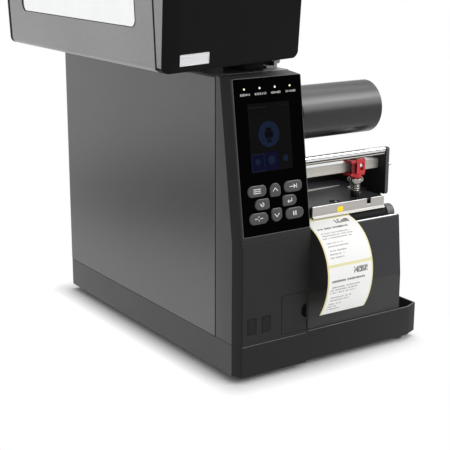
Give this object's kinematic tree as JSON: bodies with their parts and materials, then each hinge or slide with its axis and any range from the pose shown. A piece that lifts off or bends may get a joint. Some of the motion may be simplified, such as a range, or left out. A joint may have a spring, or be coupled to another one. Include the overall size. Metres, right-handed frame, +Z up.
{
  "type": "label printer",
  "caption": "Desktop label printer: sloped panel with screen and keys, open side cover on a long hinge, print mechanism with ribbon and label roll.",
  "frame": {"origin": "middle of the footprint box at the height of the feet's undersides", "axes": "+X to the printer's right as seen from the front, +Y to the rear, +Z up"},
  "size_m": [0.3382, 0.413, 0.6015],
  "materials": {
    "housing_paint": "fine metallic dark grey paint on sheet steel",
    "cover_paint": "fine metallic grey paint on sheet steel",
    "dark_plastic": "fine grained dark grey moulding",
    "black_plastic": "fine grained black moulding",
    "gloss_panel": "polished black panel",
    "screen_glass": "smooth dark display face",
    "key_plastic": "grey keys with white symbols",
    "rubber": "dark rubber",
    "steel": "brushed steel",
    "polished_steel": "polished steel",
    "black_steel": "black coated sheet steel",
    "red_plastic": "red moulding",
    "paper": "white label paper on yellowish liner",
    "ribbon_film": "wound dark satin film",
    "board_green": "green circuit board with dark chips",
    "clear_plastic": "clear window sheet"
  },
  "bodies": {
    "base": {"base_tray": "dark_plastic", "foot_front_left": "rubber", "foot_front_right": "rubber", "foot_rear_left": "rubber", "foot_rear_right": "rubber", "electronics_cover": "housing_paint", "center_wall": "steel", "rear_panel": "black_steel", "power_inlet": "black_plastic", "main_board": "board_green", "power_supply": "steel", "front_bezel": "dark_plastic", "display_panel": "gloss_panel", "display_screen": "screen_glass", "lower_front_cover": "dark_plastic", "front_box": "dark_plastic", "tear_bar": "steel", "platen_bearing": "dark_plastic", "drive_belt": "rubber", "stepper_motor": "black_steel", "label_strip": "paper", "media_hanger": "black_plastic", "hinge_fixed_leaf": "steel", "stop_block": "rubber"},
    "cover": {"cover_shell": "cover_paint", "cover_window": "clear_plastic", "cover_front_cap": "black_plastic", "cover_rear_cap": "black_plastic", "hinge_moving_leaf": "steel"},
    "key_menu": {"key_menu": "key_plastic"},
    "key_up": {"key_up": "key_plastic"},
    "key_feed": {"key_feed": "key_plastic"},
    "key_back": {"key_back": "key_plastic"},
    "key_enter": {"key_enter": "key_plastic"},
    "key_calibrate": {"key_calibrate": "key_plastic"},
    "key_down": {"key_down": "key_plastic"},
    "key_pause": {"key_pause": "key_plastic"},
    "port_cover_1": {"port_cover_1": "rubber"},
    "port_cover_2": {"port_cover_2": "rubber"},
    "service_door": {"service_door": "dark_plastic"},
    "head": {"head_frame": "black_steel", "head_end_plate": "black_steel", "guide_bar": "polished_steel", "pressure_bar": "steel", "print_head": "black_steel", "head_front_plate": "polished_steel"},
    "head_lever": {"head_lever": "dark_plastic"},
    "pressure_unit": {"pressure_unit": "red_plastic", "pressure_foot": "black_plastic", "pressure_spring": "steel"},
    "adjusting_nut": {"adjusting_nut": "steel"},
    "platen": {"platen_roller": "rubber", "platen_pulley": "black_plastic"},
    "motor_pulley": {"motor_pulley": "steel"},
    "ribbon_front": {"ribbon_front_spindle": "black_plastic", "ribbon_roll": "ribbon_film"},
    "ribbon_rear": {"ribbon_rear_spindle": "black_plastic"},
    "label_roll": {"label_roll": "paper"},
    "media_guide": {"media_guide": "dark_plastic"},
    "power_switch": {"power_switch": "black_plastic"}
  },
  "joints": [
    {"name": "cover_hinge", "type": "hinge", "parent": "base", "child": "cover", "pos_m": [0.00309, 0.01854, 0.3249], "axis": [0, 1, 0], "range_deg": [0, 182.5]},
    {"name": "key_menu_press", "type": "slide", "parent": "base", "child": "key_menu", "axis": [0, 0.9905, -0.1374], "range_m": [0, 0.0008], "stiffness_N_per_m": 400, "springref_m": -0.001},
    {"name": "key_up_press", "type": "slide", "parent": "base", "child": "key_up", "axis": [0, 0.9905, -0.1374], "range_m": [0, 0.0008], "stiffness_N_per_m": 400, "springref_m": -0.001},
    {"name": "key_feed_press", "type": "slide", "parent": "base", "child": "key_feed", "axis": [0, 0.9905, -0.1374], "range_m": [0, 0.0008], "stiffness_N_per_m": 400, "springref_m": -0.001},
    {"name": "key_back_press", "type": "slide", "parent": "base", "child": "key_back", "axis": [0, 0.9905, -0.1374], "range_m": [0, 0.0008], "stiffness_N_per_m": 400, "springref_m": -0.001},
    {"name": "key_enter_press", "type": "slide", "parent": "base", "child": "key_enter", "axis": [0, 0.9905, -0.1374], "range_m": [0, 0.0008], "stiffness_N_per_m": 400, "springref_m": -0.001},
    {"name": "key_calibrate_press", "type": "slide", "parent": "base", "child": "key_calibrate", "axis": [0, 0.9905, -0.1374], "range_m": [0, 0.0008], "stiffness_N_per_m": 400, "springref_m": -0.001},
    {"name": "key_down_press", "type": "slide", "parent": "base", "child": "key_down", "axis": [0, 0.9905, -0.1374], "range_m": [0, 0.0008], "stiffness_N_per_m": 400, "springref_m": -0.001},
    {"name": "key_pause_press", "type": "slide", "parent": "base", "child": "key_pause", "axis": [0, 0.9905, -0.1374], "range_m": [0, 0.0008], "stiffness_N_per_m": 400, "springref_m": -0.001},
    {"name": "port_cover_1_swing", "type": "hinge", "parent": "base", "child": "port_cover_1", "pos_m": [-0.07471, -0.18146, 0.061], "axis": [0, 0, -1], "range_deg": [0, 95]},
    {"name": "port_cover_2_swing", "type": "hinge", "parent": "base", "child": "port_cover_2", "pos_m": [-0.05651, -0.18146, 0.061], "axis": [0, 0, -1], "range_deg": [0, 95]},
    {"name": "service_door_swing", "type": "hinge", "parent": "base", "child": "service_door", "pos_m": [-0.03141, -0.18146, 0.0656], "axis": [0, 0, -1], "range_deg": [0, 100]},
    {"name": "head_lift", "type": "hinge", "parent": "base", "child": "head", "pos_m": [0.00609, -0.07096, 0.186], "axis": [-1, 0, 0], "range_deg": [0, 12]},
    {"name": "head_lever_turn", "type": "hinge", "parent": "head", "child": "head_lever", "pos_m": [0.01009, -0.08946, 0.192], "axis": [-1, 0, 0], "range_deg": [0, 50]},
    {"name": "pressure_unit_slide", "type": "slide", "parent": "head", "child": "pressure_unit", "axis": [1, 0, 0], "range_m": [-0.06, 0.02]},
    {"name": "adjusting_nut_turn", "type": "hinge", "parent": "pressure_unit", "child": "adjusting_nut", "pos_m": [0.09484, -0.14446, 0.188], "axis": [0, 0, 1], "continuous": true},
    {"name": "platen_turn", "type": "hinge", "parent": "base", "child": "platen", "pos_m": [0.06709, -0.15546, 0.151], "axis": [1, 0, 0], "continuous": true},
    {"name": "motor_turn", "type": "hinge", "parent": "base", "child": "motor_pulley", "pos_m": [-0.00491, -0.11146, 0.066], "axis": [1, 0, 0], "continuous": true},
    {"name": "ribbon_front_turn", "type": "hinge", "parent": "base", "child": "ribbon_front", "pos_m": [0.07309, -0.12046, 0.2675], "axis": [1, 0, 0], "continuous": true},
    {"name": "ribbon_rear_turn", "type": "hinge", "parent": "base", "child": "ribbon_rear", "pos_m": [0.07309, 0.01854, 0.2675], "axis": [1, 0, 0], "continuous": true},
    {"name": "label_roll_turn", "type": "hinge", "parent": "base", "child": "label_roll", "pos_m": [0.04009, 0.10354, 0.1713], "axis": [1, 0, 0], "continuous": true},
    {"name": "media_guide_slide", "type": "slide", "parent": "base", "child": "media_guide", "axis": [1, 0, 0], "range_m": [0, 0.045]},
    {"name": "power_switch_rock", "type": "hinge", "parent": "base", "child": "power_switch", "pos_m": [-0.02191, 0.20074, 0.063], "axis": [1, 0, 0], "range_deg": [0, 8]}
  ],
  "couplings": [
    {"joint": "motor_turn", "follows": "platen_turn", "ratio": 1.5556}
  ]
}
